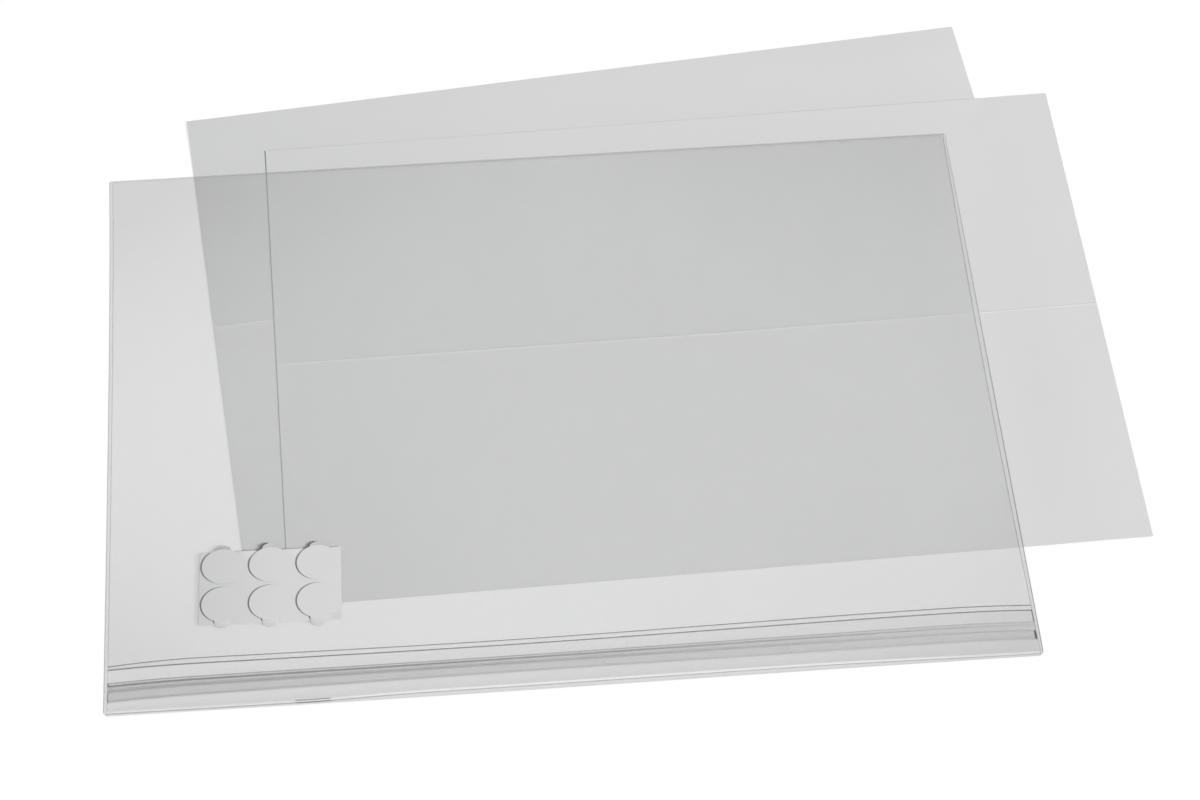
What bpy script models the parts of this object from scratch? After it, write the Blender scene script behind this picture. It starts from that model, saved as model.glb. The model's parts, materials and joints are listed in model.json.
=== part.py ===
"""Self-adhesive poster pocket with two insert sheets and a card of round adhesive pads.

The pocket lies on the sheets, and the pad card lies on the pocket. Everything rests on the plane z = 0.
The origin is on that plane, under the middle of the pocket. X runs along the long edge, Y away from the
mouth, Z up. The mouth of the pocket is its lower long edge, closed by a flap with a press zip.
"""

import math

import bmesh
import bpy

# Driving dimensions, in metres and degrees.

# insert sheets
SHEET_LENGTH = 0.594
SHEET_WIDTH = 0.420
SHEET_THICKNESS = 0.0003
CREASE_WIDTH = 0.0012
CREASE_DEPTH = 0.00008
LOWER_SHEET_X = 0.0569
LOWER_SHEET_Y = 0.1141
LOWER_SHEET_TURN = 5.20
UPPER_SHEET_X = 0.1028
UPPER_SHEET_Y = 0.0578
UPPER_SHEET_TURN = 1.27

# pocket films, with the room that they leave round a sheet
SIDE_ROOM = 0.0122
TOP_ROOM = 0.0093
FILM_GAP = 0.0003
CORNER_RADIUS = 0.005
FILM_THICKNESS = 0.0003
WELD_WIDTH = 0.004
WELD_GAP = 0.0001
WELD_SLOPE = 0.0008
WELD_DEPTH = 0.0001

# closing flap and press zip, measured across the mouth from its lower edge upwards
LIP_SETBACK = 0.002
LIP_LENGTH = 0.0088
LIP_SLOPE = 0.003
LIP_GAP = 0.0005
STRIP_WIDTH = 0.0146
STRIP_MARGIN = 0.0002
FLAP_RAMP = 0.0099
HINGE_GAP = 0.0004
FLAP_SEAM = 0.003
FLAP_END_GAP = 0.0005
STRIP_THICKNESS = 0.00025
RAIL_WIDTH = 0.001
RAIL_HEIGHT = 0.001
GROOVE_WIDTH = 0.0026
RIB_CLEARANCE = 0.0001

# pad card, placed from the pocket's left and lower edges
LINER_FROM_LEFT = 0.1121
LINER_FROM_BELOW = 0.0971
LINER_TURN = -1.0
LINER_WIDTH = 0.0965
LINER_HEIGHT = 0.0604
LINER_THICKNESS = 0.0002
PAD_DIAMETER = 0.025
PAD_THICKNESS = 0.001
PAD_COLUMNS = 3
PAD_BLOCK_SHIFT = 0.00195
COVER_OVERHANG = 0.0019
COVER_COLUMN_GAP = 0.0036
COVER_ROW_GAP = 0.0029
COVER_THICKNESS = 0.00015
TAB_WIDTH = 0.0105
TAB_LENGTH = 0.0048
TAB_CORNER = 0.0035

# between layers that lie loose on one another
LAYER_GAP = 0.0002

# smoothness of round outlines
CORNER_STEPS = 6
DISC_STEPS = 40
LEAST_RADIUS = 0.0002

# Heights of the layers, each the underside of its piece.
LOWER_SHEET_Z = 0.0
UPPER_SHEET_Z = LOWER_SHEET_Z + SHEET_THICKNESS + LAYER_GAP
BACK_Z = UPPER_SHEET_Z + SHEET_THICKNESS + LAYER_GAP
BACK_TOP = BACK_Z + FILM_THICKNESS
WINDOW_Z = BACK_TOP + FILM_GAP
WINDOW_TOP = WINDOW_Z + FILM_THICKNESS
LINER_Z = WINDOW_TOP + LAYER_GAP
PAD_Z = LINER_Z + LINER_THICKNESS + LAYER_GAP
COVER_Z = PAD_Z + PAD_THICKNESS + LAYER_GAP
GROOVE_STRIP_Z = BACK_TOP + WELD_GAP
GROOVE_FLOOR = GROOVE_STRIP_Z + STRIP_THICKNESS
RAIL_TOP = GROOVE_FLOOR + RAIL_HEIGHT
RIB_STRIP_Z = RAIL_TOP + RIB_CLEARANCE
RIB_STRIP_TOP = RIB_STRIP_Z + STRIP_THICKNESS
FLAP_Z = RIB_STRIP_TOP + WELD_GAP
LIP_Z = BACK_TOP + LIP_GAP

# The pocket's outline, which takes a sheet inside the welds and above the seam of the flap.
FLAP_LENGTH = LIP_LENGTH + LIP_SLOPE + STRIP_WIDTH + 2 * STRIP_MARGIN + FLAP_RAMP
MOUTH_HEIGHT = LIP_SETBACK + FLAP_LENGTH + HINGE_GAP + FLAP_SEAM + WELD_SLOPE
POCKET_WIDTH = SHEET_LENGTH + 2 * (SIDE_ROOM + WELD_SLOPE + WELD_WIDTH)
POCKET_HEIGHT = MOUTH_HEIGHT + SHEET_WIDTH + TOP_ROOM + WELD_SLOPE + WELD_WIDTH

# Lines across the mouth, from its lower edge upwards.
LOWER_EDGE = -POCKET_HEIGHT / 2
LIP_EDGE = LOWER_EDGE + LIP_SETBACK
LIP_TOP = LIP_EDGE + LIP_LENGTH
STRIP_LOWER = LIP_TOP + LIP_SLOPE + STRIP_MARGIN
STRIP_UPPER = STRIP_LOWER + STRIP_WIDTH
FLAP_UPPER = STRIP_UPPER + STRIP_MARGIN + FLAP_RAMP
HINGE_Y = FLAP_UPPER + HINGE_GAP / 2
WINDOW_LOWER = FLAP_UPPER + HINGE_GAP
FLAP_HALF = POCKET_WIDTH / 2 - WELD_WIDTH - FLAP_END_GAP

LINER_X = LINER_FROM_LEFT - POCKET_WIDTH / 2
LINER_Y = LOWER_EDGE + LINER_FROM_BELOW
PAD_RADIUS = PAD_DIAMETER / 2
COVER_RADIUS = PAD_RADIUS + COVER_OVERHANG
PAD_COLUMN_PITCH = 2 * COVER_RADIUS + COVER_COLUMN_GAP
PAD_ROW_PITCH = 2 * COVER_RADIUS + COVER_ROW_GAP


def clear_scene():
    for item in list(bpy.data.objects):
        bpy.data.objects.remove(item, do_unlink=True)


def make_material(name, colour, roughness, alpha=1.0):
    """A plain Principled material. Nothing on this object is metal."""
    material = bpy.data.materials.new(name)
    material.use_nodes = True
    shader = material.node_tree.nodes["Principled BSDF"]
    shader.inputs["Base Color"].default_value = (*colour, 1.0)
    shader.inputs["Roughness"].default_value = roughness
    shader.inputs["Metallic"].default_value = 0.0
    shader.inputs["Alpha"].default_value = alpha
    return material


def add_empty(name, location, turn):
    empty = bpy.data.objects.new(name, None)
    empty.location = location
    empty.rotation_euler.z = math.radians(turn)
    bpy.context.scene.collection.objects.link(empty)
    return empty


def add_piece(name, shape, material, location=(0.0, 0.0, 0.0), turn=0.0, parent=None):
    """Turns a bmesh that is modelled around its own origin into a placed, named object."""
    bmesh.ops.recalc_face_normals(shape, faces=shape.faces)
    mesh = bpy.data.meshes.new(name)
    shape.to_mesh(mesh)
    shape.free()
    mesh.materials.append(material)
    piece = bpy.data.objects.new(name, mesh)
    piece.location = location
    piece.rotation_euler.z = math.radians(turn)
    piece.parent = parent
    bpy.context.scene.collection.objects.link(piece)
    return piece


def arc(centre_x, centre_y, radius, start, end, steps):
    """Points along an arc, angles in degrees, both ends included."""
    points = []
    for step in range(steps + 1):
        angle = math.radians(start + (end - start) * step / steps)
        points.append((centre_x + radius * math.cos(angle), centre_y + radius * math.sin(angle)))
    return points


def thicken(shape, thickness):
    """Gives an open surface a wall that hangs straight down from it."""
    grown = bmesh.ops.extrude_face_region(shape, geom=shape.faces[:], use_keep_orig=True)
    lower = [item for item in grown["geom"] if isinstance(item, bmesh.types.BMVert)]
    bmesh.ops.translate(shape, verts=lower, vec=(0.0, 0.0, -thickness))
    return lower


def plate(outline, underside, thickness):
    """A flat plate with the given outline in X and Y."""
    shape = bmesh.new()
    shape.faces.new([shape.verts.new((x, y, underside + thickness)) for x, y in outline])
    thicken(shape, thickness)
    return shape


def extrusion(profile, half_length):
    """A bar along X with the given closed profile in Y and Z."""
    shape = bmesh.new()
    end = shape.faces.new([shape.verts.new((-half_length, y, z)) for y, z in profile])
    grown = bmesh.ops.extrude_face_region(shape, geom=[end], use_keep_orig=True)
    moved = [item for item in grown["geom"] if isinstance(item, bmesh.types.BMVert)]
    bmesh.ops.translate(shape, verts=moved, vec=(2 * half_length, 0.0, 0.0))
    return shape


def shifted(points, across, up):
    """A profile moved so that the line at (across, up) becomes its origin."""
    return [(y - across, z - up) for y, z in points]


def rounded_rectangle(width, height, radius, steps):
    side = width / 2 - radius
    top = height / 2 - radius
    outline = []
    corners = ((side, top), (-side, top), (-side, -top), (side, -top))
    for turn, (centre_x, centre_y) in enumerate(corners):
        outline += arc(centre_x, centre_y, radius, 90 * turn, 90 * turn + 90, steps)
    return outline


def seam_line(inset, lower):
    """Points up the left side, along the top and down the right side, inset from the pocket's outline."""
    radius = max(CORNER_RADIUS - inset, LEAST_RADIUS)
    side = POCKET_WIDTH / 2 - inset
    top = POCKET_HEIGHT / 2 - inset
    left = arc(radius - side, top - radius, radius, 180, 90, CORNER_STEPS)
    right = arc(side - radius, top - radius, radius, 90, 0, CORNER_STEPS)
    return [(-side, lower)] + left + right + [(side, lower)]


def leg_end():
    """Lower end of the welded strip beside the flap, at the left, from its outer to its inner side."""
    side = POCKET_WIDTH / 2
    inner = WELD_WIDTH - side
    reach = max(CORNER_RADIUS - WELD_WIDTH, 0.0)
    sweep = math.degrees(math.acos(reach / CORNER_RADIUS))
    centre_y = LOWER_EDGE + CORNER_RADIUS
    points = arc(CORNER_RADIUS - side, centre_y, CORNER_RADIUS, 180, 180 + sweep, CORNER_STEPS)
    if WELD_WIDTH > CORNER_RADIUS:
        points.append((inner, LOWER_EDGE))
    return points


def make_back_panel(film):
    """The full outline, with a shallow pressed band under it where the groove strip is welded on."""
    side = POCKET_WIDTH / 2
    outline = rounded_rectangle(POCKET_WIDTH, POCKET_HEIGHT, CORNER_RADIUS, CORNER_STEPS)
    upper, lower = outline[: len(outline) // 2], outline[len(outline) // 2 :]
    pressed = (STRIP_LOWER + WELD_SLOPE, STRIP_UPPER - WELD_SLOPE)
    shape = bmesh.new()

    def row(points):
        return [shape.verts.new((x, y, FILM_THICKNESS)) for x, y in points]

    across = [row([(-side, y), (side, y)]) for y in (STRIP_LOWER, *pressed, STRIP_UPPER)]
    shape.faces.new([across[0][0], *row(lower), across[0][1]])
    for below, above in zip(across, across[1:]):
        shape.faces.new((*below, *reversed(above)))
    shape.faces.new([across[-1][1], *row(upper), across[-1][0]])
    for vert in thicken(shape, FILM_THICKNESS):
        if pressed[0] - LEAST_RADIUS < vert.co.y < pressed[1] + LEAST_RADIUS:
            vert.co.z += WELD_DEPTH
    add_piece("back_panel", shape, film, location=(0.0, 0.0, BACK_Z))


def make_front_panel(film):
    """A flat film with a pressed weld round the window, which runs on beside the flap."""
    shape = bmesh.new()
    pressed = WINDOW_TOP - WELD_DEPTH
    seam = WINDOW_LOWER + FLAP_SEAM
    inner = POCKET_WIDTH / 2 - WELD_WIDTH

    def line(points, height):
        return [shape.verts.new((x, y, height)) for x, y in points]

    outer = line(seam_line(0.0, seam), pressed)
    foot = line(seam_line(WELD_WIDTH, seam), pressed)
    shoulder = line(seam_line(WELD_WIDTH + WELD_SLOPE, seam + WELD_SLOPE), WINDOW_TOP)
    left = line(leg_end() + [(-inner, WINDOW_LOWER)], pressed)
    right = line([(inner, WINDOW_LOWER)] + [(-x, y) for x, y in reversed(leg_end())], pressed)
    shape.faces.new([outer[0], *left, *right, outer[-1], foot[-1], foot[0]])
    for at in range(len(outer) - 1):
        shape.faces.new((outer[at], outer[at + 1], foot[at + 1], foot[at]))
    for at in range(len(foot)):
        shape.faces.new((foot[at - 1], foot[at], shoulder[at], shoulder[at - 1]))
    shape.faces.new(shoulder)
    for vert in thicken(shape, FILM_THICKNESS):
        vert.co.z = WINDOW_Z
    add_piece("front_panel", shape, film)


def make_closing_flap(film):
    """Front film below the hinge line: up a ramp, over the zip, and down to the lip."""
    upper_side = [
        (FLAP_UPPER, WINDOW_TOP),
        (STRIP_UPPER + STRIP_MARGIN, FLAP_Z + FILM_THICKNESS),
        (STRIP_LOWER - STRIP_MARGIN, FLAP_Z + FILM_THICKNESS),
        (LIP_TOP, LIP_Z + FILM_THICKNESS),
        (LIP_EDGE, LIP_Z + FILM_THICKNESS),
    ]
    under_side = [(y, z - FILM_THICKNESS) for y, z in reversed(upper_side)]
    profile = shifted(upper_side + under_side, HINGE_Y, WINDOW_TOP)
    add_piece("closing_flap", extrusion(profile, FLAP_HALF), film, location=(0.0, HINGE_Y, WINDOW_TOP))


def make_zip_strips(film):
    """The groove strip on the back film, and the rib strip under the flap that presses into it."""
    groove_upper = STRIP_UPPER - RAIL_WIDTH
    groove_lower = groove_upper - GROOVE_WIDTH
    groove = [
        (STRIP_LOWER, GROOVE_STRIP_Z),
        (STRIP_UPPER, GROOVE_STRIP_Z),
        (STRIP_UPPER, RAIL_TOP),
        (groove_upper, RAIL_TOP),
        (groove_upper, GROOVE_FLOOR),
        (groove_lower, GROOVE_FLOOR),
        (groove_lower, RAIL_TOP),
        (groove_lower - RAIL_WIDTH, RAIL_TOP),
        (groove_lower - RAIL_WIDTH, GROOVE_FLOOR),
        (STRIP_LOWER, GROOVE_FLOOR),
    ]
    add_piece("zip_groove_strip", extrusion(groove, FLAP_HALF), film)
    rib_upper = groove_upper - RIB_CLEARANCE
    rib_lower = groove_lower + RIB_CLEARANCE
    rib_bottom = GROOVE_FLOOR + RIB_CLEARANCE
    rib = [
        (STRIP_LOWER, RIB_STRIP_Z),
        (rib_lower, RIB_STRIP_Z),
        (rib_lower, rib_bottom),
        (rib_upper, rib_bottom),
        (rib_upper, RIB_STRIP_Z),
        (STRIP_UPPER, RIB_STRIP_Z),
        (STRIP_UPPER, RIB_STRIP_TOP),
        (STRIP_LOWER, RIB_STRIP_TOP),
    ]
    rib = shifted(rib, HINGE_Y, WINDOW_TOP)
    add_piece("zip_rib_strip", extrusion(rib, FLAP_HALF), film, location=(0.0, HINGE_Y, WINDOW_TOP))


def make_insert_sheet(name, place, turn, paper):
    """A sheet with one shallow crease along its middle, parallel to its long edges."""
    edge = SHEET_WIDTH / 2
    crease = CREASE_WIDTH / 2
    profile = [
        (-edge, 0.0),
        (edge, 0.0),
        (edge, SHEET_THICKNESS),
        (crease, SHEET_THICKNESS),
        (0.0, SHEET_THICKNESS - CREASE_DEPTH),
        (-crease, SHEET_THICKNESS),
        (-edge, SHEET_THICKNESS),
    ]
    add_piece(name, extrusion(profile, SHEET_LENGTH / 2), paper, location=place, turn=turn)


def cover_outline():
    """A disc with a pull tab towards +Y. The origin is on the rim opposite the tab."""
    half = TAB_WIDTH / 2
    root = math.degrees(math.acos(half / COVER_RADIUS))
    tab_end = 2 * COVER_RADIUS + TAB_LENGTH
    corner = min(TAB_CORNER, half)
    disc = arc(0.0, COVER_RADIUS, COVER_RADIUS, 180 - root, 360 + root, DISC_STEPS)
    right = arc(half - corner, tab_end - corner, corner, 0, 90, CORNER_STEPS)
    left = arc(corner - half, tab_end - corner, corner, 90, 180, CORNER_STEPS)
    return disc + right + left


def make_pad_card(paper, foam, cover_paper):
    """The release liner with two rows of covered pads, whose tabs point outwards."""
    card = add_empty("pad_card", (LINER_X, LINER_Y, LINER_Z), LINER_TURN)
    side = LINER_WIDTH / 2
    top = LINER_HEIGHT / 2
    outline = [(-side, -top), (side, -top), (side, top), (-side, top)]
    add_piece("pad_liner", plate(outline, 0.0, LINER_THICKNESS), paper, parent=card)
    disc = arc(0.0, 0.0, PAD_RADIUS, 0, 360, DISC_STEPS)[:-1]
    number = 0
    for row in (1, -1):
        for column in range(PAD_COLUMNS):
            number += 1
            x = (column - (PAD_COLUMNS - 1) / 2) * PAD_COLUMN_PITCH
            y = PAD_BLOCK_SHIFT + row * PAD_ROW_PITCH / 2
            pad = plate(disc, 0.0, PAD_THICKNESS)
            add_piece(f"adhesive_pad_{number}", pad, foam, location=(x, y, PAD_Z - LINER_Z), parent=card)
            cover = plate(cover_outline(), 0.0, COVER_THICKNESS)
            add_piece(
                f"pad_cover_{number}",
                cover,
                cover_paper,
                location=(x, y - row * COVER_RADIUS, COVER_Z - LINER_Z),
                turn=0 if row > 0 else 180,
                parent=card,
            )


def main():
    clear_scene()
    film = make_material("clear_film", (0.78, 0.80, 0.79), 0.15, alpha=0.35)
    strip = make_material("zip_strip", (0.62, 0.64, 0.64), 0.25, alpha=0.5)
    paper = make_material("insert_paper", (0.66, 0.67, 0.66), 0.8)
    liner = make_material("liner_paper", (0.70, 0.71, 0.70), 0.5)
    foam = make_material("adhesive_foam", (0.60, 0.60, 0.58), 0.7)
    cover = make_material("cover_paper", (0.68, 0.69, 0.68), 0.45)
    make_insert_sheet(
        "insert_sheet_lower", (LOWER_SHEET_X, LOWER_SHEET_Y, LOWER_SHEET_Z), LOWER_SHEET_TURN, paper
    )
    make_insert_sheet(
        "insert_sheet_upper", (UPPER_SHEET_X, UPPER_SHEET_Y, UPPER_SHEET_Z), UPPER_SHEET_TURN, paper
    )
    make_back_panel(film)
    make_front_panel(film)
    make_zip_strips(strip)
    make_closing_flap(film)
    make_pad_card(liner, foam, cover)


main()
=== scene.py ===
import json
import math

import bmesh
import bpy
from mathutils import Matrix, Vector


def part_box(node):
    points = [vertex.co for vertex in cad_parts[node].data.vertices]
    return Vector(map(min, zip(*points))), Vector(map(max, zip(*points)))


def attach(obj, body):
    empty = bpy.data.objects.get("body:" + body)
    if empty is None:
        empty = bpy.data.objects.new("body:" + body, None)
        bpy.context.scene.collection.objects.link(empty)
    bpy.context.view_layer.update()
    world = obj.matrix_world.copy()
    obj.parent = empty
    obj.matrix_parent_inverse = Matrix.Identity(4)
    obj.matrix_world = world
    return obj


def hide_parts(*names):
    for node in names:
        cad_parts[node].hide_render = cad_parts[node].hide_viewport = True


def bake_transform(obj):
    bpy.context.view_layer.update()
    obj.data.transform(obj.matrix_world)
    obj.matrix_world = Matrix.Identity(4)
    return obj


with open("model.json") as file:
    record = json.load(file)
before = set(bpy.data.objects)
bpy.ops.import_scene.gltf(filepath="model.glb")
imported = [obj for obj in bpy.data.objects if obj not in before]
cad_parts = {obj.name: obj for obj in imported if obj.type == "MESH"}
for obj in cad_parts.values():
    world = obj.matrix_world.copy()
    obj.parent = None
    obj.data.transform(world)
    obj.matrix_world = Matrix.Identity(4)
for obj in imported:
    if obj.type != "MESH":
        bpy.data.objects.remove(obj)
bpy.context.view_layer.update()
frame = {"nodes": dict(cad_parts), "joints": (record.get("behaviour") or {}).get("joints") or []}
joints = {joint["name"]: joint for joint in frame["joints"]}
print("frame loaded:", len(frame["nodes"]), "nodes")

mm = 0.001
tolerance = 0.1 * mm  # how near a point is to a line or corner that it is on


# shader maths: a socket that adds its own Math nodes

class Value:
    def __init__(self, finish, socket):
        self.finish = finish
        self.socket = socket

    def maths(self, operation, first, second):
        return self.finish.node("Math", {"operation": operation}, {0: first, 1: second})

    def __add__(self, other):
        return self.maths("ADD", self, other)

    def __sub__(self, other):
        return self.maths("SUBTRACT", self, other)

    def __rsub__(self, other):
        return self.maths("SUBTRACT", other, self)

    def __mul__(self, other):
        return self.maths("MULTIPLY", self, other)

    def __truediv__(self, other):
        return self.maths("DIVIDE", self, other)

    def __pow__(self, other):
        return self.maths("POWER", self, other)

    __radd__ = __add__
    __rmul__ = __mul__


class Finish:
    def __init__(self, name):
        self.material = bpy.data.materials.new(name)
        self.material.use_nodes = True
        self.tree = self.material.node_tree
        self.shader = self.tree.nodes["Principled BSDF"]

    def node(self, kind, settings=None, links=None, output=0):
        made = self.tree.nodes.new("ShaderNode" + kind)
        for key, value in (settings or {}).items():
            if key == "stops":
                self.setStops(made.color_ramp, value)
            else:
                setattr(made, key, value)
        for key, value in (links or {}).items():
            self.feed(made.inputs[key], value)
        return Value(self, made.outputs[output])

    def feed(self, socket, value):
        if isinstance(value, Value):
            self.tree.links.new(value.socket, socket)
        else:
            socket.default_value = value

    def setStops(self, ramp, stops):
        while len(ramp.elements) < len(stops):
            ramp.elements.new(1.0)
        for element, (place, shade) in zip(ramp.elements, stops):
            element.position = place
            element.color = (shade, shade, shade, 1.0)

    def surface(self, **sockets):
        names = {
            "colour": "Base Color", "roughness": "Roughness", "specular": "Specular IOR Level",
            "alpha": "Alpha", "normal": "Normal", "glow": "Emission Color",
            "glowStrength": "Emission Strength",
        }
        for key, value in sockets.items():
            self.feed(self.shader.inputs[names[key]], value)
        return self.material

    def place(self, kind="Object"):
        return self.node("TexCoord", output=kind)

    def axes(self, place):
        return [self.node("SeparateXYZ", links={0: place}, output=at) for at in range(3)]

    def cloud(self, place, scale, detail=2.0, roughness=0.5):
        links = {"Vector": place, "Scale": scale, "Detail": detail, "Roughness": roughness}
        return self.node("TexNoise", links=links)

    def stretch(self, place, amount):
        return self.node("Mapping", links={"Vector": place, "Scale": amount})

    def ramp(self, value, stops):
        return self.node("ValToRGB", {"stops": stops}, {0: value})

    def blend(self, share, first, second):
        links = {"Factor": share, 6: first, 7: second}
        return self.node("Mix", {"data_type": "RGBA"}, links, output=2)

    def bump(self, height, distance, strength):
        links = {"Height": height, "Distance": distance, "Strength": strength}
        return self.node("Bump", links=links)


cool = (0.985, 1.0, 0.993)
plain = (0.997, 1.0, 0.995)


def shade(value, tint=plain):
    return (value * tint[0], value * tint[1], value * tint[2], 1.0)


pocketLow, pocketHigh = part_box("back_panel")
windowLow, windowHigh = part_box("front_panel")
linerLow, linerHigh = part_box("pad_liner")
lowerEdge = pocketLow.y


# paper and foam finishes

paperGrain = {"detail": 4.0, "roughness": 0.65, "strength": 0.4}
insertPaperLook = {
    "dark": 0.607, "light": 0.72, "gloss": 0.72, "shine": 0.2,
    "fibre": 900.0, "fibreHeight": 0.04 * mm, "fibreShare": 0.14,
    "mottle": 7.0, "mottleDetail": 3.0, "mottleShare": 0.14,
    "lit": ((0.2, 0.0), (0.5, 0.8), (0.9, 1.0)), "litShare": 0.62,
    "foldScale": 60.0, "nearHalf": ((0.47, 1.0), (0.53, 0.0)), "nearShare": 0.25,
    "fade": ((0.3, 0.7), (0.5, 1.0), (0.78, 1.0), (0.83, 0.07)),
    "bright": ((0.25, 0.0), (0.38, 1.0), (0.47, 1.0), (0.5, 0.0)), "brightTone": 0.92, "brightShare": 0.38,
    "shaded": ((0.5, 0.0), (0.53, 1.0), (0.62, 1.0), (0.75, 0.0)), "shadedTone": 0.46, "shadedShare": 0.4,
}
cardPaperLook = {
    "gloss": 0.5, "shine": 0.25, "fibre": 650.0, "fibreHeight": 0.03 * mm, "fibreShare": 0.3,
    "leftShade": ((0.0, 0.05), (0.3, 0.45), (0.55, 0.82), (1.0, 1.0)),
}
# the tab tones and the cover rim tone are darker copies of the cover paper: painted shade
cardTones = {
    "linerPaper": (0.595, 0.69), "coverPaper": (0.605, 0.685), "upperTab": (0.505, 0.525),
    "lowerTab": (0.54, 0.60), "coverEdge": (0.36, 0.40),
}
# the foam is given a dark colour so that its side facing the light shows no bright rim: painted shade
foamLook = {
    "cells": 2600.0, "cellDepth": 0.1 * mm, "cellStrength": 0.6, "dark": 0.28, "light": 0.38, "gloss": 0.8,
}


def grainOn(paper, place, scale):
    return paper.cloud(place, scale, paperGrain["detail"], paperGrain["roughness"])


def paperSurface(paper, look, colour, grain):
    normal = paper.bump(grain, look["fibreHeight"], paperGrain["strength"])
    return paper.surface(colour=colour, roughness=look["gloss"], normal=normal, specular=look["shine"])


def insertFinish(name, foldAt):
    look = insertPaperLook
    paper = Finish(name)
    place = paper.place()
    mottle = paper.cloud(place, look["mottle"], look["mottleDetail"])
    grain = grainOn(paper, place, look["fibre"])
    across = paper.axes(place)[0] + 0.5
    fold = (paper.axes(paper.place("UV"))[1] - foldAt) * look["foldScale"] + 0.5
    lit = paper.ramp(across, look["lit"])
    # painted light along the crease: the near half a step lighter, a painted highlight on one side and
    # painted shade on the other, fainter toward the right
    fade = paper.ramp(across, look["fade"])
    nearHalf = (paper.ramp(fold, look["nearHalf"]) - 0.5) * fade
    tone = look["litShare"] * lit + look["mottleShare"] * mottle + look["fibreShare"] * grain
    tone = tone + look["nearShare"] * nearHalf
    colour = paper.blend(tone, shade(look["dark"], cool), shade(look["light"]))
    for side in ("bright", "shaded"):
        share = fade * paper.ramp(fold, look[side]) * look[side + "Share"]
        colour = paper.blend(share, colour, shade(look[side + "Tone"]))
    return paperSurface(paper, look, colour, grain)


def cardFinish(name, dark, light):
    # the card curls a little, and its papers are painted darker at the left: painted shade
    look = cardPaperLook
    paper = Finish(name)
    place = paper.place()
    grain = grainOn(paper, place, look["fibre"])
    share = (paper.axes(place)[0] - linerLow.x) / (linerHigh.x - linerLow.x)
    tone = paper.ramp(share, look["leftShade"]) + look["fibreShare"] * (grain - 0.5)
    colour = paper.blend(tone, shade(dark, cool), shade(light))
    return paperSurface(paper, look, colour, grain)


def foamFinish():
    look = foamLook
    foam = Finish("padFoam")
    cells = foam.node("TexVoronoi", links={"Vector": foam.place(), "Scale": look["cells"]})
    colour = foam.blend(cells, shade(look["dark"]), shade(look["light"]))
    normal = foam.bump(cells, look["cellDepth"], look["cellStrength"])
    return foam.surface(colour=colour, roughness=look["gloss"], normal=normal)


# film and zip finishes: what a film adds is haze, on the pocket films with a painted reflection in it, and
# alpha is what it takes

filmLook = {
    "alpha": 0.174, "alphaRise": 0.014, "dark": 0.35, "light": 0.54, "gloss": 0.18,
    "hazeAndSheen": 0.92, "sheenMiddle": 0.2, "sheenLossAcross": 0.2, "sheenLossAlong": 0.2, "sheenLossCorners": 0.55,
    "rightLess": 0.35, "sheenLossLeft": 0.25, "leftEnd": ((0.88, 0.0), (1.0, 1.0)),
    "smear": (11.0, 5.0, 1.0), "smearDetail": 4.0, "smearShare": 0.3,
    "speck": 0.16, "speckShare": 0.6, "speckCells": 26.0, "speckSpots": ((0.028, 1.0), (0.036, 0.0)),
    "speckUneven": 0.05, "unevenScale": 6.0,
}
flapLook = {
    "alpha": 0.185, "dark": 0.20, "light": 0.53, "height": 40 * mm, "base": 0.12, "riseShare": 0.75,
    "rightLoss": 0.15, "endLoss": 0.2, "rightEndLoss": 0.22,
    "drawn": (4.0, 160.0, 1.0), "drawnDetail": 3.0, "drawnShare": 0.24,
}
streakLook = {"stretch": (30.0, 30.0, 1.0), "gloss": 0.2}
lineLooks = {  # how strongly each shows at its left and right end, and what topLoss takes off it higher up
    "weldFilm": {"left": 0.38, "right": 0.42, "grey": 0.64, "spread": 0.04},
    "foldFilm": {"left": 0.20, "right": 0.21, "grey": 0.33, "spread": 0.1},
    "weldLine": {"left": 0.26, "right": 0.30, "grey": 0.08},
    "weldRim": {"left": 0.10, "right": 0.46, "grey": 0.08, "topLoss": 0.85},
    "filmRim": {"left": 0.30, "right": 0.12, "grey": 0.12},
    "lipFilm": {"left": 0.34, "right": 0.34, "grey": 0.50, "spread": 0.06},
    "seamFilm": {"left": 0.03, "right": 0.03, "grey": 0.50},
    "seamLine": {"left": 0.36, "right": 0.39, "grey": 0.05},
    "hingeLine": {"left": 0.43, "right": 0.37, "grey": 0.04},
    # painted light along the flap's lip: a painted highlight, painted shade at its fold and a painted shadow
    # at its edge
    "lipShine": {"left": 0.16, "right": 0.16, "grey": 0.95, "spread": 0.05},
    "lipFold": {"left": 0.07, "right": 0.07, "grey": 0.06},
    "lipEdge": {"left": 0.24, "right": 0.17, "grey": 0.06},
    "lipRim": {"left": 0.16, "right": 0.24, "grey": 0.10},
    "zipPlastic": {"left": 0.12, "right": 0.06, "grey": 0.36, "spread": 0.15},
    "zipLine": {"left": 0.44, "right": 0.18, "grey": 0.06, "bend": 3.0},
    "zipShadow": {"left": 0.50, "right": 0.02, "grey": 0.03, "bend": 2.0},
    "zipRail": {"left": 0.23, "right": 0.0, "grey": 0.10, "bend": 2.0},
    "zipLower": {"left": 0.11, "right": 0.12, "grey": 0.06},
    "zipEdge": {"left": 0.20, "right": 0.08, "grey": 0.06},
    "crushedEnd": {"left": 0.75, "right": 0.75, "grey": 0.02},
}


def specksOn(film, place):
    look = filmLook
    links = {"Vector": place, "Scale": look["speckCells"]}
    spots = film.node("TexVoronoi", {"voronoi_dimensions": "2D"}, links)
    uneven = look["speckUneven"] * film.cloud(place, look["unevenScale"])
    return film.ramp(spots + uneven, look["speckSpots"])


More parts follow.
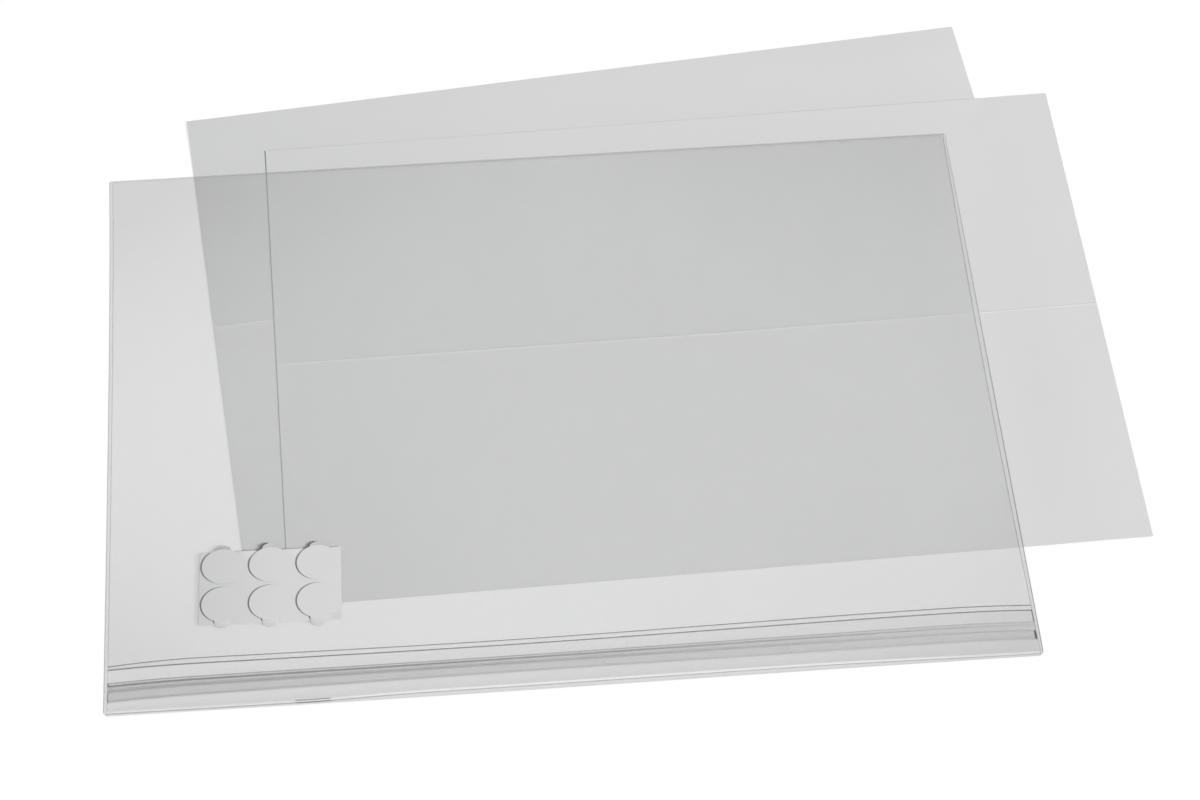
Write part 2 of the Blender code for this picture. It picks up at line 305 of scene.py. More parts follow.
def filmFinish():
    look = filmLook
    film = Finish("clearFilm")
    place = film.place()
    across, along = film.axes(place)[:2]
    u = across / pocketHigh.x
    v = along / pocketHigh.y
    # painted reflection: the film's tone is brightest right of the middle and darker toward the corners, most
    # at the left
    off = u - look["sheenMiddle"]
    sheenLoss = look["sheenLossAcross"] * off * off + look["sheenLossAlong"] * v * v
    sheenLoss = sheenLoss + (look["sheenLossCorners"] - look["rightLess"] * u) * u * u * v * v
    sheenLoss = sheenLoss + look["sheenLossLeft"] * film.ramp(0.5 - 0.5 * u, look["leftEnd"]) * v * v
    smear = film.cloud(film.stretch(place, look["smear"]), 1.0, look["smearDetail"])
    tone = look["hazeAndSheen"] - sheenLoss + look["smearShare"] * smear
    colour = film.blend(tone, shade(look["dark"], cool), shade(look["light"], cool))
    colour = film.blend(specksOn(film, place) * look["speckShare"], colour, shade(look["speck"]))
    return film.surface(colour=colour, roughness=look["gloss"], alpha=look["alpha"] + look["alphaRise"] * u)


def flapFinish():
    look = flapLook
    film = Finish("flapFilm")
    place = film.place()
    across, along = film.axes(place)[:2]
    u = across / pocketHigh.x
    up = (along - lowerEdge) / look["height"]
    drawn = film.cloud(film.stretch(place, look["drawn"]), 1.0, look["drawnDetail"])
    ends = (look["endLoss"] + look["rightEndLoss"] * u) * u * u * u * u
    tone = look["base"] + look["riseShare"] * up - look["rightLoss"] * u - ends + look["drawnShare"] * drawn
    colour = film.blend(tone, shade(look["dark"], cool), shade(look["light"]))
    return film.surface(colour=colour, roughness=filmLook["gloss"], alpha=look["alpha"])


def lineFinish(name, left, right, grey, spread=0.3, bend=1.0, topLoss=0.0):
    line = Finish(name)
    place = line.place()
    across, along = line.axes(place)[:2]
    share = line.node("Clamp", links={0: across / (2 * pocketHigh.x) + 0.5})
    up = along / (2 * pocketHigh.y) + 0.5
    streak = line.cloud(line.stretch(place, streakLook["stretch"]), 1.0)
    colour = line.blend(streak, shade(grey * (1 - spread), cool), shade(grey * (1 + spread)))
    alpha = (left + (right - left) * share ** bend) * (1.0 - topLoss * up)
    return line.surface(colour=colour, roughness=streakLook["gloss"], alpha=alpha)


finishes = {"padFoam": foamFinish(), "clearFilm": filmFinish(), "flapFilm": flapFinish()}
for name, tones in cardTones.items():
    finishes[name] = cardFinish(name, *tones)
for name, settings in lineLooks.items():
    finishes[name] = lineFinish(name, **settings)
print("finishes made:", len(finishes))


# modelling helpers

def startPiece(name, add, **settings):
    bpy.ops.object.select_all(action="DESELECT")
    add(**settings)
    piece = bpy.context.active_object
    piece.name = name
    piece.data.name = name
    return piece


def pick(piece):
    bpy.ops.object.select_all(action="DESELECT")
    piece.select_set(True)
    bpy.context.view_layer.objects.active = piece


def copyPiece(piece, name):
    pick(piece)
    bpy.ops.object.duplicate()
    copy = bpy.context.active_object
    copy.name = name
    copy.data.name = name
    return copy


def middle(item):
    return sum((vert.co for vert in item.verts), Vector()) / len(item.verts)


def choose(piece, kind, test):
    bpy.ops.mesh.select_mode(type={"verts": "VERT", "edges": "EDGE", "faces": "FACE"}[kind])
    bpy.ops.mesh.select_all(action="DESELECT")
    shape = bmesh.from_edit_mesh(piece.data)
    for item in getattr(shape, kind):
        if test(item.co if kind == "verts" else middle(item)):
            item.select_set(True)
    shape.select_flush_mode()
    bmesh.update_edit_mesh(piece.data)


def wear(piece, *names):
    for name in names:
        piece.data.materials.append(finishes[name])


def paint(piece, name, test):
    number = piece.data.materials.find(name)
    shape = bmesh.from_edit_mesh(piece.data)
    for face in shape.faces:
        if test(middle(face)):
            face.material_index = number
    bmesh.update_edit_mesh(piece.data)


def applyModifier(piece, kind, **settings):
    modifier = piece.modifiers.new(kind.title(), kind)
    for key, value in settings.items():
        setattr(modifier, key, value)
    bpy.ops.object.modifier_apply(modifier=modifier.name)


def thicken(piece, thickness, offset=0.0, **settings):
    applyModifier(piece, "SOLIDIFY", thickness=thickness, offset=offset, **settings)


def settle():
    bpy.ops.object.mode_set(mode="OBJECT")
    bpy.ops.object.transform_apply(location=True, rotation=True, scale=True)


def handOver(piece, body, slot, *nodes):
    piece.visible_shadow = slot not in ("clear_film", "zip_strip")  # clear pieces let the light through
    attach(piece, body)
    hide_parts(*nodes)
    print("piece:", piece.name, len(piece.data.polygons), "faces")


def smooth(share):
    share = min(max(share, 0.0), 1.0)
    return share * share * (3 - 2 * share)


def ownSize(node, turn):
    back = Matrix.Rotation(-turn, 3, "Z")
    spots = [back @ vert.co for vert in frame["nodes"][node].data.vertices]
    return [max(s[at] for s in spots) - min(s[at] for s in spots) for at in range(2)]


def middleOf(node):
    low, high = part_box(node)
    return (low + high) / 2


# insert sheets

insertLook = {
    "thickness": 0.24 * mm, "columns": 90, "rows": 64, "creaseHalf": 0.8 * mm, "creaseHeight": 0.12 * mm,
    "creaseReach": 80 * mm, "lift": 1.1 * mm, "waveLength": 0.16, "freeFrom": 6 * mm, "freeReach": 60 * mm,
}
creaseLooks = {  # the row it starts from, how far off that row it is, and how it leaves it toward the left
    "upper": {"row": 0, "shift": 0.0, "tilt": 0.0088},
    "lower": {"row": 1, "shift": -1.4 * mm, "tilt": 0.0},
}


def outside(spot, centre, turn, half):
    own = Matrix.Rotation(-turn, 3, "Z") @ (spot - centre)
    return max(abs(own.x) - half[0], abs(own.y) - half[1])


def makeInsertSheet(which, turn, covers):
    look = insertLook
    crease = creaseLooks[which]
    node = f"insert_sheet_{which}"
    centre = middleOf(node)
    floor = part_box(node)[0].z
    length, width = ownSize(node, turn)
    sheet = startPiece(
        f"{which}InsertSheet", bpy.ops.mesh.primitive_grid_add, x_subdivisions=look["columns"],
        y_subdivisions=look["rows"], size=1,
    )
    sheet.data.materials.append(insertFinish(f"{which}InsertPaper", 0.5 + crease["row"] / look["rows"]))
    creaseAt = crease["row"] * width / look["rows"]
    bpy.ops.object.mode_set(mode="EDIT")
    bpy.ops.transform.resize(value=(length, width, 1))
    choose(sheet, "edges", lambda spot: abs(spot.y - creaseAt) < tolerance)
    bpy.ops.mesh.bevel(offset=look["creaseHalf"], segments=2, affect="EDGES")
    choose(sheet, "verts", lambda spot: abs(spot.y - creaseAt) < tolerance)
    bpy.ops.transform.translate(value=(0, 0, look["creaseHeight"]))
    settle()
    for vert in sheet.data.vertices:
        near = max(0.0, 1 - abs(vert.co.y - creaseAt) / look["creaseReach"])
        vert.co.y += near * (crease["shift"] - crease["tilt"] * min(vert.co.x, 0.0))
    sheet.rotation_euler.z = turn
    sheet.location = (centre.x, centre.y, floor + look["thickness"])
    settle()
    free = sheet.vertex_groups.new(name="free")  # what lies outside the pieces on top may lift
    for vert in sheet.data.vertices:
        clear = min(outside(vert.co, *cover) for cover in covers)
        free.add([vert.index], smooth((clear - look["freeFrom"]) / look["freeReach"]), "REPLACE")
    waves = bpy.data.textures.new(sheet.name + "Waves", "CLOUDS")
    waves.noise_scale = look["waveLength"]
    applyModifier(
        sheet, "DISPLACE", texture=waves, texture_coords="LOCAL", direction="Z", mid_level=0.0,
        strength=look["lift"], vertex_group="free",
    )
    thicken(sheet, look["thickness"], -1.0)
    handOver(sheet, f"{which}_sheet", "insert_paper", node)
    return centre, turn, (length / 2, width / 2)


def turnOf(joint, across):
    axis = Vector(joints[joint]["axis"])
    return math.atan2(-axis.x, axis.y) if across else math.atan2(axis.y, axis.x)


pocketCover = ((pocketLow + pocketHigh) / 2, 0.0, ((pocketHigh - pocketLow) / 2)[:2])
upperCover = makeInsertSheet(
    "upper", turnOf("upper_sheet_slide", False), [pocketCover]
)
makeInsertSheet("lower", turnOf("lower_sheet_slide", True), [pocketCover, upperCover])


# pocket films: plain at the folded top, welded along both sides

pocketLook = {
    "bead": 0.6 * mm, "weld": 2.5 * mm, "slope": 0.5 * mm, "bulge": 2.0 * mm, "narrow": 0.8 * mm,
    "weldReach": 4 * mm, "sideBand": 6 * mm, "lip": 3.5 * mm, "edgeShare": 0.49,
    "topRound": 1.6 * mm, "footRound": 4.0 * mm, "roundDegrees": (15, 45, 75),
    "bowSteps": 12, "bow": 2.0 * mm, "cornerOut": 1.35 * mm, "cornerPower": 6, "leftOut": 0.35 * mm,
    "rightOut": 0.3 * mm, "rightIn": 1.5 * mm,
    "wander": 0.6 * mm, "wanderLength": 0.72, "wanderFrom": 0.06,
}


def lipWander(x):
    look = pocketLook
    return look["wander"] * math.sin((x - look["wanderFrom"]) / look["wanderLength"] * 2 * math.pi)


def rise(y):
    return (y - pocketLow.y) / (pocketHigh.y - pocketLow.y)


def leftBow(y):
    look = pocketLook
    up = rise(y)
    return look["bow"] * up * (1 - up) - look["cornerOut"] * up ** look["cornerPower"] - look["leftOut"]


def rightBow(y):
    return pocketLook["rightOut"] - pocketLook["rightIn"] * rise(y)


def startFilm(name, height, *finishNames):
    look = pocketLook
    film = startPiece(name, bpy.ops.mesh.primitive_plane_add, size=1)
    wear(film, *finishNames)
    bpy.ops.object.mode_set(mode="EDIT")
    size = pocketHigh - pocketLow
    edge = size * look["edgeShare"]
    bpy.ops.transform.resize(value=(size.x, size.y, 1))
    for test in (lambda spot: abs(spot.x) > edge.x, lambda spot: spot.y < -edge.y):
        choose(film, "edges", test)
        bpy.ops.mesh.subdivide(number_cuts=look["bowSteps"])
    bpy.ops.object.mode_set(mode="OBJECT")
    for vert in film.data.vertices:
        spot = Vector((vert.co.x, vert.co.y, height))
        if abs(vert.co.x) > edge.x:
            spot.x += leftBow(vert.co.y) if vert.co.x < 0 else rightBow(vert.co.y)
        if vert.co.y < -edge.y:
            spot.y += lipWander(vert.co.x)
        vert.co = spot
    bpy.ops.object.mode_set(mode="EDIT")
    bpy.ops.mesh.select_mode(type="FACE")
    bpy.ops.mesh.select_all(action="SELECT")
    return film


def insetRing(film, width, side, others):
    bpy.ops.mesh.inset(thickness=width, use_even_offset=True)
    shape = bmesh.from_edit_mesh(film.data)
    kept = [face for face in shape.faces if face.select]
    ring = {other for face in kept for edge in face.edges for other in edge.link_faces} - set(kept)
    for face in ring:
        atSide = abs(middle(face).x) > pocketHigh.x - pocketLook["sideBand"]
        face.material_index = film.data.materials.find(side if atSide else others)
    bmesh.update_edit_mesh(film.data)


def cut(spot, normal, clear=False):
    bpy.ops.mesh.select_all(action="SELECT")
    bpy.ops.mesh.bisect(plane_co=spot, plane_no=normal, clear_outer=clear, threshold=0.001 * mm)


def roundCorners():
    # planes that touch the round, each taking off what lies beyond it
    look = pocketLook
    for x in (pocketLow.x, pocketHigh.x):
        for y, radius in ((pocketLow.y, look["footRound"]), (pocketHigh.y, look["topRound"])):
            corner = Vector((x, y, 0))
            corner.x += leftBow(y) if x < 0 else rightBow(y)
            if y < 0:
                corner.y += lipWander(x)
            out = Vector((math.copysign(1, x), math.copysign(1, y), 0))
            for degrees in look["roundDegrees"]:
                angle = math.radians(degrees)
                normal = Vector((out.x * math.cos(angle), out.y * math.sin(angle), 0))
                cut(corner - out * radius + normal * radius, normal, True)


def makeBackFilm():
    look = pocketLook
    height = (pocketLow.z + pocketHigh.z) / 2
    film = startFilm("backFilm", height, "clearFilm", "foldFilm", "filmRim", "lipFilm", "lipRim")
    insetRing(film, look["bead"], "filmRim", "foldFilm")
    insetRing(film, look["lip"] - look["bead"], "clearFilm", "clearFilm")
    # the lip in front of the flap is denser
    paint(film, "lipFilm", lambda spot: spot.y < lowerEdge + look["lip"])
    paint(film, "lipRim", lambda spot: spot.y - lipWander(spot.x) < lowerEdge + look["bead"])
    roundCorners()
    settle()
    thicken(film, pocketHigh.z - pocketLow.z)
    handOver(film, "pocket", "clear_film", "back_panel")


def makeFrontFilm():
    look = pocketLook
    height = (windowLow.z + windowHigh.z) / 2
    film = startFilm("frontFilm", height, "clearFilm", "foldFilm", "weldFilm", "weldLine", "weldRim")
    insetRing(film, look["bead"], "weldRim", "foldFilm")
    insetRing(film, look["weld"] - look["bead"], "weldFilm", "foldFilm")
    insetRing(film, look["slope"], "weldLine", "clearFilm")
    bpy.ops.object.mode_set(mode="OBJECT")
    for vert in film.data.vertices:  # the right weld is widest halfway up
        inside = pocketHigh.x + rightBow(vert.co.y) - vert.co.x
        if look["weld"] - tolerance < inside < look["weldReach"]:
            vert.co.x -= look["bulge"] * math.sin(math.pi * rise(vert.co.y)) - look["narrow"]
    bpy.ops.object.mode_set(mode="EDIT")
    roundCorners()
    # the flap's opening is cut out of the lower edge
    seam = lowerEdge + mouthLook["hingeLine"]
    cut((0, seam, 0), (0, 1, 0))
    for side in (-1, 1):
        cut((side * mouthHalf, 0, 0), (1, 0, 0))
    choose(film, "faces", lambda spot: abs(spot.x) < mouthHalf and spot.y < seam)
    bpy.ops.mesh.delete(type="FACE")
    inner, outer = mouthHalf * mouthLook["seamInner"], mouthHalf * mouthLook["seamOuter"]
    choose(film, "edges", lambda spot: abs(spot.x) < inner and abs(spot.y - seam) < tolerance)
    bpy.ops.mesh.subdivide(number_cuts=mouthLook["steps"])
    settle()
    for vert in film.data.vertices:
        if abs(vert.co.y - seam) < tolerance and abs(vert.co.x) < outer:
            vert.co.y += sway(vert.co)
    thicken(film, windowHigh.z - windowLow.z)
    handOver(film, "pocket", "clear_film", "front_panel")


# mouth: seam band, flap and press zip, each an edge along X drawn out across its profile

mouthLook = {
    "steps": 80, "hingeLine": 37.9 * mm, "stripTop": 27.4 * mm, "stripBottom": 13.4 * mm,
    "seamInner": 0.9, "seamOuter": 1.001,  # shares of half the mouth
    "lean": 2.3 * mm, "leanLoss": 0.047, "dip": 1.6 * mm, "dipReach": 60 * mm,
    "pinch": 1.8 * mm, "pinchFrom": 1.0 * mm, "pinchPower": 1.5,
    "wave": 0.06, "waveStill": 20 * mm, "waveFrom": 0.25, "waveLength": 0.6,
    "calmBelow": 6 * mm, "calmRise": 8 * mm,
    "lipDrop": 1.8 * mm, "dropLeft": 0.10, "dropLeftReach": 0.08, "dropRight": 0.15, "dropRightReach": 0.15,
}
flapLow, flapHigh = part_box("closing_flap")
ribLow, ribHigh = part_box("zip_rib_strip")
grooveLow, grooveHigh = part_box("zip_groove_strip")
hinge = Vector(joints["flap_hinge"]["pos_m"])
mouthHalf = pocketHigh.x - pocketLook["weld"]


def sway(spot):
    # the mouth leans and waves a little, its ends dip, and its lip follows the lip behind it
    look = mouthLook
    up = spot.y - lowerEdge
    past = max(0.0, (abs(spot.x) - mouthHalf + look["dipReach"]) / look["dipReach"])
    turn = (spot.x - look["waveFrom"]) / look["waveLength"] * 2 * math.pi
    held = (look["lean"] - look["leanLoss"] * up) * spot.x / mouthHalf - look["dip"] * past * past
    held += look["wave"] * (up - look["waveStill"]) * math.cos(turn)
    if spot.x < 0 and up > look["hingeLine"] + look["pinchFrom"]:
        held -= look["pinch"] * past ** look["pinchPower"]
    hold = smooth((up - look["calmBelow"]) / look["calmRise"])
    ends = smooth((-spot.x - look["dropLeft"]) / look["dropLeftReach"])
    ends += smooth((spot.x - look["dropRight"]) / look["dropRightReach"])
    return hold * held + (1 - hold) * (lipWander(spot.x) - look["lipDrop"] * ends)


def startRail(name, stations, *otherFinishes):
    # stations are (above the lower edge, height, finish of the faces that end there)
    above, height = stations[0][:2]
    rail = startPiece(name, bpy.ops.mesh.primitive_plane_add, size=2 * mouthHalf)
    wear(rail, *dict.fromkeys(finish for _, _, finish in stations), *otherFinishes)
    bpy.ops.object.mode_set(mode="EDIT")
    choose(rail, "verts", lambda spot: spot.y < 0)
    bpy.ops.mesh.delete(type="VERT")
    bpy.ops.mesh.select_all(action="SELECT")
    bpy.ops.mesh.subdivide(number_cuts=mouthLook["steps"] - 1)
    bpy.ops.transform.translate(value=(0, lowerEdge + above - mouthHalf, height))
    for (fromAbove, fromHeight, _), (toAbove, toHeight, finish) in zip(stations, stations[1:]):
        step = (0, toAbove - fromAbove, toHeight - fromHeight)
        bpy.ops.mesh.extrude_region_move(TRANSFORM_OT_translate={"value": step})
        number = rail.data.materials.find(finish)
        shape = bmesh.from_edit_mesh(rail.data)
        for edge in shape.edges:
            if edge.select:
                for face in edge.link_faces:
                    face.material_index = number
        bmesh.update_edit_mesh(rail.data)
    return rail


def shadeEnd(rail, side, width, low, high):
    # the end of a strip by the side weld is painted dark, as painted shade in the gap where the strip stops
    # short of the weld
    start = mouthHalf - width
    cut((side * start, 0, 0), (1, 0, 0))
    paint(rail, "crushedEnd", lambda spot: side * spot.x > start and low < spot.y - lowerEdge < high)


def finishRail(rail, thickness):
    settle()
    for vert in rail.data.vertices:
        vert.co.y += sway(vert.co)
    thicken(rail, thickness)


seamLook = {
    "top": 41.9 * mm, "line": 0.8 * mm, "hingeWidth": 1.0 * mm, "lift": 0.12 * mm, "hingeLift": 0.1 * mm,
    "thickness": 0.1 * mm, "bendReach": 1.5 * mm,
}


def makeSeamBand():
    look = seamLook
    seamTop, hingeLine = look["top"], mouthLook["hingeLine"]
    height = windowHigh.z + look["lift"]
    stations = [
        (seamTop, height, "seamFilm"),
        (seamTop - look["line"], height, "seamLine"),
        (hingeLine, height, "seamFilm"),
        (hingeLine - look["hingeWidth"], height + look["hingeLift"], "hingeLine"),
    ]
    band = startRail("flapSeamBand", stations)
    finishRail(band, look["thickness"])
    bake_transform(band)
    band.visible_shadow = False


flapShape = {
    "thickness": 0.3 * mm, "hingeGap": 0.2 * mm, "stripMargin": 0.2 * mm,
    "backSlope": 1.2 * mm, "backDrop": 0.15 * mm, "frontSlope": 1.4 * mm, "frontDrop": 0.25 * mm,
    "lipBack": 9.0 * mm, "lipFront": 2.8 * mm, "foldTop": 2.5 * mm, "foldFoot": 1.9 * mm, "edge": 0.7 * mm,
    "crush": 0.4 * mm, "dashFrom": -0.189, "dashTo": -0.163,
}


def makeFlapFilm():
    look = flapShape
    half = look["thickness"] / 2
    top, lip = flapHigh.z - half, flapLow.z + half
    hingeLine, stripTop, stripBottom = (mouthLook[key] for key in ("hingeLine", "stripTop", "stripBottom"))
    front = look["lipFront"]
    stations = [
        (hingeLine - look["hingeGap"], hinge.z - half, "flapFilm"),
        (stripTop + look["backSlope"], top - look["backDrop"], "flapFilm"),
        (stripTop + look["stripMargin"], top, "flapFilm"),
        (stripBottom - look["stripMargin"], top, "flapFilm"),
        (stripBottom - look["frontSlope"], top - look["frontDrop"], "flapFilm"),
        (look["lipBack"], lip, "flapFilm"),
        (front + look["foldTop"], lip, "flapFilm"),
        # painted shade at the lip's fold, then a painted highlight and a painted shadow at its edge
        (front + look["foldFoot"], lip, "lipFold"),
        (front + look["edge"], lip, "lipShine"),
        (front, lip, "lipEdge"),
    ]
    flap = startRail("flapFilm", stations, "crushedEnd", "zipShadow")
    shadeEnd(flap, 1, look["crush"], stripTop, hingeLine)

    def onDash(spot):  # a short dark dash on the lip's edge and fold
        back = spot.y - lowerEdge - front
        onLine = 0 < back < look["edge"] or look["foldFoot"] < back < look["foldTop"]
        return onLine and look["dashFrom"] < spot.x < look["dashTo"]

    paint(flap, "zipShadow", onDash)
    finishRail(flap, look["thickness"])
    handOver(flap, "flap", "clear_film", "closing_flap")


zipLook = {
    "thickness": 0.2 * mm, "gap": 0.02 * mm, "upperRail": 24.9 * mm, "lowerRail": 20.2 * mm,
    "railHalf": 0.4 * mm, "ribIn": 1.2 * mm, "topLine": 0.7 * mm, "shadowTop": 0.7 * mm,
    "shadowFoot": 0.6 * mm, "lowerTop": 0.4 * mm, "lowerFoot": 0.3 * mm, "edgeLine": 1.4 * mm,
    "leftUpperBar": 0.8 * mm, "leftLowerBar": 0.5 * mm, "rightBar": 1.3 * mm,
}


def makeZipStrip(name, node, body, stations, bars):
    strip = startRail(name, stations, "crushedEnd")
    for bar in bars:
        shadeEnd(strip, *bar)
    finishRail(strip, zipLook["thickness"])
    handOver(strip, body, "zip_strip", node)


def makeZip():
    # the lines are on the rib strip, which lies against the flap
    look = zipLook
    top, bottom, half = mouthLook["stripTop"], mouthLook["stripBottom"], look["railHalf"]
    upper, lower = look["upperRail"], look["lowerRail"]
    upperRib, lowerRib = upper - look["ribIn"], lower + look["ribIn"]
    inset = look["thickness"] / 2 + look["gap"]
    plate, tip = ribHigh.z - inset, ribLow.z + inset
    floor, crest = grooveLow.z + inset, grooveHigh.z - inset
    rib = [
        (top, plate, "zipPlastic"),
        (top - look["topLine"], plate, "zipLine"),
        (upper + look["shadowTop"], plate, "zipPlastic"),
        (upper - look["shadowFoot"], plate, "zipShadow"),
        (upperRib, plate, "zipRail"),
        (upperRib, tip, "zipPlastic"),
        (lowerRib, tip, "zipRail"),
        (lowerRib, plate, "zipPlastic"),
        (lower + look["lowerTop"], plate, "zipRail"),
        (lower - look["lowerFoot"], plate, "zipLower"),
        (bottom + look["edgeLine"], plate, "zipPlastic"),
        (bottom, plate, "zipEdge"),
    ]
    groove = [(top, floor)]
    for rail in (upper, lower):
        groove += [(rail + half, floor), (rail + half, crest), (rail - half, crest), (rail - half, floor)]
    groove.append((bottom, floor))
    bars = [
        (-1, look["leftUpperBar"], upper, top),
        (-1, look["leftLowerBar"], bottom, lower),
        (1, look["rightBar"], bottom, lower),
    ]
    makeZipStrip("zipRibStrip", "zip_rib_strip", "flap", rib, bars)
    plainGroove = [(above, height, "zipPlastic") for above, height in groove]
    makeZipStrip("zipGrooveStrip", "zip_groove_strip", "pocket", plainGroove, [])


makeBackFilm()
makeFrontFilm()
makeSeamBand()
makeFlapFilm()
makeZip()


# pad card: liner, foam pads and their covers

linerLook = {
    "columns": 32, "rows": 20, "thickness": 0.08 * mm, "gap": 0.02 * mm, "smoothDegrees": 40,
    "cornerLift": 0.5 * mm, "cornerPull": 1.0 * mm, "cornerReach": 8 * mm,
    "edgeLifts": ((-16 * mm, 0.6 * mm), (16 * mm, 0.3 * mm)), "edgeHalf": 9 * mm, "edgeReach": 6 * mm,
}
padLook = {"count": 6, "sides": 72, "round": 0.15 * mm, "height": 0.68 * mm, "smoothDegrees": 40}
coverLook = {
    "sides": 96, "thickness": 0.1 * mm, "gap": 0.01 * mm, "perRow": 3,
    "tabWidth": 11.0 * mm, "tabSteps": 6, "tabTaper": 0.95, "tabPower": 3,
    "tabLengths": [3.95, 3.55, 3.05, 5.15, 5.85, 6.95],
    "bends": [-12, 12, 10, -15, -13, -11],
}
cardTurn = math.atan2(joints["cover_1_peel"]["axis"][1], joints["cover_1_peel"]["axis"][0])
linerTop = windowHigh.z + linerLook["gap"] + linerLook["thickness"]
padTop = linerTop + padLook["height"]


def makeLiner():
    look = linerLook
    centre = (linerLow + linerHigh) / 2
    width, height = ownSize("pad_liner", cardTurn)
    liner = startPiece(
        "padLiner", bpy.ops.mesh.primitive_grid_add, x_subdivisions=look["columns"],
        y_subdivisions=look["rows"], size=1,
    )
    wear(liner, "linerPaper")
    bpy.ops.object.mode_set(mode="EDIT")
    bpy.ops.transform.resize(value=(width, height, 1))
    corner = Vector((width / 2, -height / 2, 0))
    choose(liner, "verts", lambda spot: (spot - corner).length < tolerance)
    bpy.ops.transform.translate(
        value=(-look["cornerPull"], 0, look["cornerLift"]), use_proportional_edit=True,
        proportional_edit_falloff="SMOOTH", proportional_size=look["cornerReach"],
    )
    settle()
    for vert in liner.data.vertices:  # the upper edge lifts between the covers
        edge = smooth((vert.co.y - height / 2) / look["edgeReach"] + 1)
        for gap, amount in look["edgeLifts"]:
            vert.co.z += amount * edge * max(0.0, 1 - ((vert.co.x - gap) / look["edgeHalf"]) ** 2)
    liner.rotation_euler.z = cardTurn
    liner.location = (centre.x, centre.y, linerTop - look["thickness"])
    settle()
    thicken(liner, look["thickness"], 1.0)
    bpy.ops.object.shade_smooth_by_angle(angle=math.radians(look["smoothDegrees"]))
    handOver(liner, "liner", "liner_paper", "pad_liner")


def modelPad():
    look = padLook
    low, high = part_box("adhesive_pad_1")
    pad = startPiece(
        "padPattern", bpy.ops.mesh.primitive_cylinder_add, vertices=look["sides"],
        radius=(high.x - low.x) / 2, depth=look["height"],
    )
    wear(pad, "padFoam")
    bpy.ops.object.mode_set(mode="EDIT")
    choose(pad, "edges", lambda spot: abs(spot.z) > look["height"] / 2 - tolerance)
    bpy.ops.mesh.bevel(offset=look["round"], segments=3, affect="EDGES")
    settle()
    bpy.ops.object.shade_smooth_by_angle(angle=math.radians(look["smoothDegrees"]))
    return pad


def makePad(pattern, number):
    node = f"adhesive_pad_{number}"
    centre = middleOf(node)
    pad = copyPiece(pattern, f"foamPad{number}")
    pad.location = (centre.x, centre.y, padTop - padLook["height"] / 2)
    settle()
    handOver(pad, f"pad_{number}", "adhesive_foam", node)


def tabWidthAt(step):
    look = coverLook
    return math.sqrt(1 - (look["tabTaper"] * step / look["tabSteps"]) ** look["tabPower"])


def makeCover(number):
    look = coverLook
    node = f"pad_cover_{number}"
    pad = middleOf(f"adhesive_pad_{number}")
    low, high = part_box(node)
    radius = (high.x - low.x) / 2
    axis = Vector(joints[f"cover_{number}_peel"]["axis"])
    cover = startPiece(
        f"padCover{number}", bpy.ops.mesh.primitive_circle_add, vertices=look["sides"], radius=radius,
        fill_type="NGON",
    )
    # the tabs are painted darker than the cover: painted shade of tabs turned away from the light
    tabShade = "upperTab" if number <= look["perRow"] else "lowerTab"
    wear(cover, "coverPaper", tabShade, "coverEdge")
    bpy.ops.object.mode_set(mode="EDIT")
    choose(cover, "edges", lambda spot: spot.y > 0 and abs(spot.x) < look["tabWidth"] / 2)
    reach = look["tabLengths"][number - 1] * mm / look["tabSteps"]
    bend = math.radians(look["bends"][number - 1]) / look["tabSteps"]
    for step in range(look["tabSteps"]):
        # a tab that bends down does so at its root
        angle = bend * (step + 1 if bend > 0 else look["tabSteps"] - step)
        bpy.ops.mesh.extrude_region_move(
            TRANSFORM_OT_translate={"value": (0, reach * math.cos(angle), reach * math.sin(angle))}
        )
        narrower = tabWidthAt(step + 1) / tabWidthAt(step)
        bpy.ops.transform.resize(value=(narrower, narrower, 1))
    paint(cover, tabShade, lambda spot: spot.y > radius / 2)
    settle()
    cover.rotation_euler.z = math.atan2(axis.y, axis.x)
    cover.location = (pad.x, pad.y, padTop + look["gap"])
    settle()
    # the cover's rim gets a dark paper: painted shade, so its lit edge shows no bright line
    thicken(cover, look["thickness"], 1.0, material_offset_rim=cover.data.materials.find("coverEdge"))
    handOver(cover, f"cover_{number}", "cover_paper", node)


makeLiner()
padPattern = modelPad()
for number in range(1, padLook["count"] + 1):
    makePad(padPattern, number)
    makeCover(number)
pick(padPattern)
bpy.ops.object.delete()


# stage, light and camera

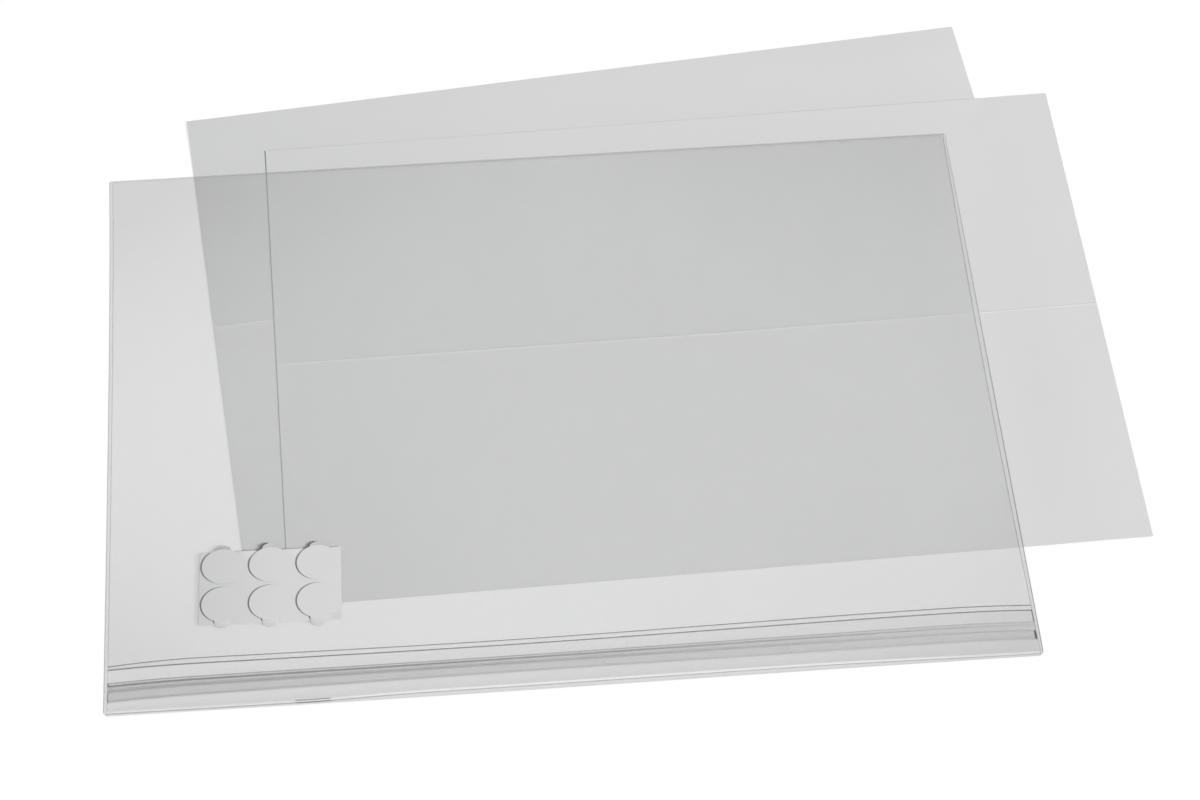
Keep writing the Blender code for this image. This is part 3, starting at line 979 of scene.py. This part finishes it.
stageLook = {
    "floorSize": 12, "floorDrop": 0.3 * mm, "floorGrey": 0.25, "floorGlow": 0.76, "world": 0.36,
    "keyPower": 4.26, "keySpread": 10, "keyFrom": (2.2, -1.54, 1.43), "clearLayers": 48,
}
cameraLook = {
    "place": (-0.0773, -1.5372, 1.9475), "tilt": 38.428, "roll": 0.155, "turn": -4.328, "lens": 105.07,
    "sensor": 36, "farthest": 50,
}


def makeFloor():
    look = stageLook
    floor = startPiece(
        "floor", bpy.ops.mesh.primitive_plane_add, size=look["floorSize"], location=(0, 0, -look["floorDrop"])
    )
    white = Finish("whiteFloor")
    camera, glossy, through = [
        white.node("LightPath", output=f"Is {kind} Ray") for kind in ("Camera", "Glossy", "Transmission")
    ]
    seen = white.node("Clamp", links={0: camera + glossy + through})
    grey = look["floorGrey"]
    white.surface(
        colour=(grey, grey, grey, 1), roughness=1.0, specular=0.0, glow=seen * look["floorGlow"],
        glowStrength=1.0,
    )
    floor.data.materials.append(white.material)


def makeWorld():
    world = bpy.data.worlds.new("studio")
    world.use_nodes = True
    back = world.node_tree.nodes["Background"]
    back.inputs["Color"].default_value = (1, 1, 1, 1)
    back.inputs["Strength"].default_value = stageLook["world"]
    bpy.context.scene.world = world


def makeKey():
    bpy.ops.object.light_add(type="SUN", location=stageLook["keyFrom"])
    key = bpy.context.active_object
    key.name = "keyLight"
    key.data.angle = math.radians(stageLook["keySpread"])
    key.data.energy = stageLook["keyPower"]
    key.rotation_euler = (-key.location).to_track_quat("-Z", "Y").to_euler()


def makeCamera():
    look = cameraLook
    bpy.ops.object.camera_add(location=look["place"])
    camera = bpy.context.active_object
    camera.rotation_euler = [math.radians(look[key]) for key in ("tilt", "roll", "turn")]
    camera.data.lens = look["lens"]
    camera.data.sensor_width = look["sensor"]
    camera.data.clip_end = look["farthest"]
    bpy.context.scene.camera = camera


makeFloor()
makeWorld()
makeKey()
makeCamera()
bpy.context.scene.view_settings.view_transform = "Standard"
bpy.context.scene.cycles.transparent_max_bounces = stageLook["clearLayers"]
print("stage ready")
